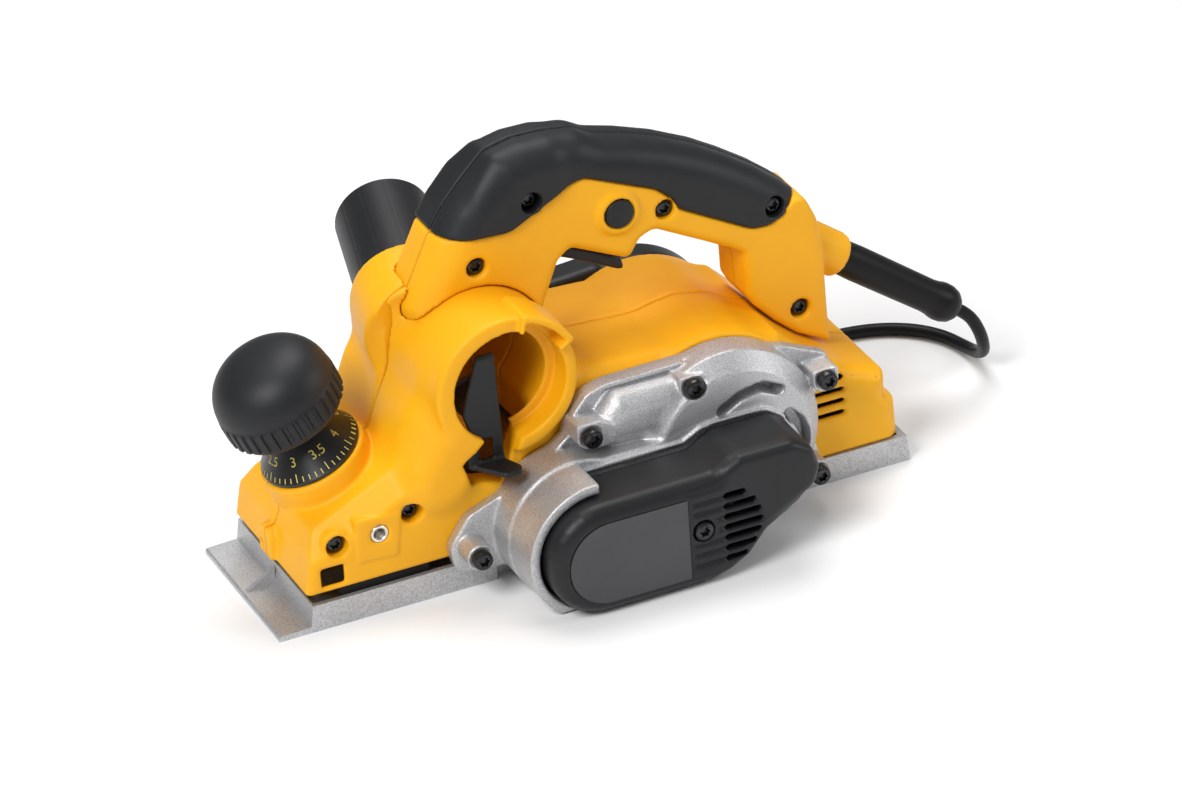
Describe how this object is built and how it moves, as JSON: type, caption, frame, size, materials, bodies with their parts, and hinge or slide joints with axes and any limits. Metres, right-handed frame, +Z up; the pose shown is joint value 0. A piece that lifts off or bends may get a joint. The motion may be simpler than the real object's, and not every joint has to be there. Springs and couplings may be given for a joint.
{
  "type": "electric hand planer",
  "caption": "Corded hand planer: depth knob in front, looped rear handle, belt-driven cutter drum between two flat soles, chip ports on both sides",
  "frame": {"origin": "centre of the sole outline, on the plane of the rear sole that rests on the work", "axes": "+X from the depth knob to the cord, +Z up, -Y towards the belt cover"},
  "size_m": [0.396, 0.2709, 0.197],
  "materials": {
    "yellow_housing": "moulded nylon with a fine spark texture",
    "black_grip": "soft overmoulded elastomer",
    "black_plastic": "fine textured glass filled nylon",
    "label_grey": "blank satin label",
    "cast_aluminium": "die cast and bead blasted",
    "steel": "ground",
    "black_steel": "black oxide",
    "brass": "turned",
    "copper_winding": "enamelled copper wire",
    "carbon": "pressed carbon",
    "rubber": "extruded rubber"
  },
  "bodies": {
    "planer_body": {"housing_left": "yellow_housing", "housing_right": "yellow_housing", "handle_left": "yellow_housing", "handle_right": "yellow_housing", "grip_left": "black_grip", "grip_right": "black_grip", "belt_cover": "black_plastic", "right_motor_cover": "black_plastic", "chip_tube": "black_plastic", "switch_body": "black_plastic", "brush_holders": "black_plastic", "plug": "black_plastic", "cover_label": "label_grey", "base_casting": "cast_aluminium", "drive_casting": "cast_aluminium", "guide_block": "cast_aluminium", "drum_bearing_left": "steel", "drum_bearing_right": "steel", "motor_bearing_left": "steel", "motor_bearing_right": "steel", "stator_core": "steel", "brush_springs": "steel", "casting_screws": "black_steel", "cover_screw": "black_steel", "handle_screws": "black_steel", "housing_screws": "black_steel", "fence_insert": "brass", "plug_pins": "brass", "field_coils": "copper_winding", "carbon_brushes": "carbon", "cord_guard": "rubber", "cord": "rubber", "cord_coil": "rubber", "plug_lead": "rubber", "coil_tie": "rubber", "shoe_seal": "rubber", "drive_belt": "rubber"},
    "front_shoe_unit": {"front_shoe": "cast_aluminium"},
    "knob_unit": {"depth_knob": "black_plastic", "scale_ring": "black_plastic", "depth_screw": "steel"},
    "drum_unit": {"cutter_drum": "cast_aluminium", "drum_shaft": "steel", "planer_blades": "steel", "blade_clamps": "cast_aluminium", "drum_pulley": "black_plastic", "drum_nut": "steel"},
    "rotor_unit": {"motor_shaft": "steel", "armature": "steel", "commutator": "brass", "cooling_fan": "black_plastic", "motor_pulley": "black_plastic"},
    "trigger_unit": {"trigger": "black_plastic"},
    "lock_unit": {"lock_button": "black_plastic"},
    "diverter_unit": {"chip_diverter": "black_plastic"}
  },
  "joints": [
    {"name": "knob_turn", "type": "hinge", "parent": "planer_body", "child": "knob_unit", "pos_m": [-0.1219, 0, 0.07], "axis": [-0.3843, 0, 0.9232], "range_deg": [-360, 0]},
    {"name": "front_shoe_lift", "type": "slide", "parent": "planer_body", "child": "front_shoe_unit", "axis": [-0.3843, 0, 0.9232], "range_m": [0, 0.00434]},
    {"name": "drum_spin", "type": "hinge", "parent": "planer_body", "child": "drum_unit", "pos_m": [-0.019, 0, 0.028], "axis": [0, 1, 0], "continuous": true},
    {"name": "motor_spin", "type": "hinge", "parent": "planer_body", "child": "rotor_unit", "pos_m": [0.0615, 0, 0.0465], "axis": [0, 1, 0], "continuous": true},
    {"name": "trigger_pull", "type": "hinge", "parent": "planer_body", "child": "trigger_unit", "pos_m": [0.0075, 0, 0.143], "axis": [0, 1, 0], "range_deg": [-5, 0], "stiffness_Nm_per_rad": 0.5, "springref_deg": 5.73},
    {"name": "lock_press", "type": "slide", "parent": "planer_body", "child": "lock_unit", "axis": [0, 1, 0], "range_m": [0, 0.003], "stiffness_N_per_m": 300, "springref_m": -0.002},
    {"name": "diverter_swing", "type": "hinge", "parent": "planer_body", "child": "diverter_unit", "pos_m": [-0.0505, -0.0455, 0.116], "axis": [1, 0, 0], "range_deg": [0, 18]}
  ],
  "couplings": [
    {"joint": "front_shoe_lift", "follows": "knob_turn", "m_per_rad": -0.00068957},
    {"joint": "motor_spin", "follows": "drum_spin", "ratio": 1.6}
  ]
}
